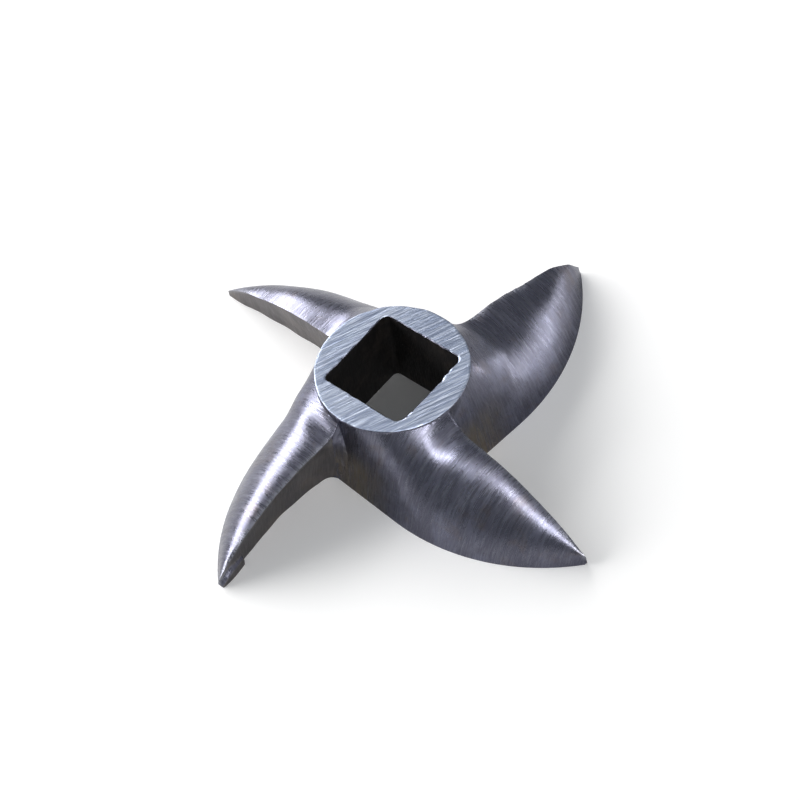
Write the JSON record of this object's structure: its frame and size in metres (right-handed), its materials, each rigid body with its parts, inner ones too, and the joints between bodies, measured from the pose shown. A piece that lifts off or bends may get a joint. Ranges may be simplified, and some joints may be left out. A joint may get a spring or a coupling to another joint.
{
  "type": "meat grinder knife",
  "caption": "Pinwheel grinder knife: swept blades with rounded backs and crisp crests round a hub with a square drive hole, ground flat below to run against a cutting plate.",
  "frame": {"origin": "axis of the square drive hole, on the flat cutting face that the knife lies on", "axes": "+Z out of the hub's top face, away from the cutting face; X and Y square to the flats of the drive hole"},
  "size_m": [0.0728, 0.0728, 0.0138],
  "materials": {
    "cast_steel": "cast and ground steel, dark and oiled on the blades, bright on the ground hub face"
  },
  "bodies": {
    "root": {"knife": "cast_steel"}
  },
  "joints": []
}
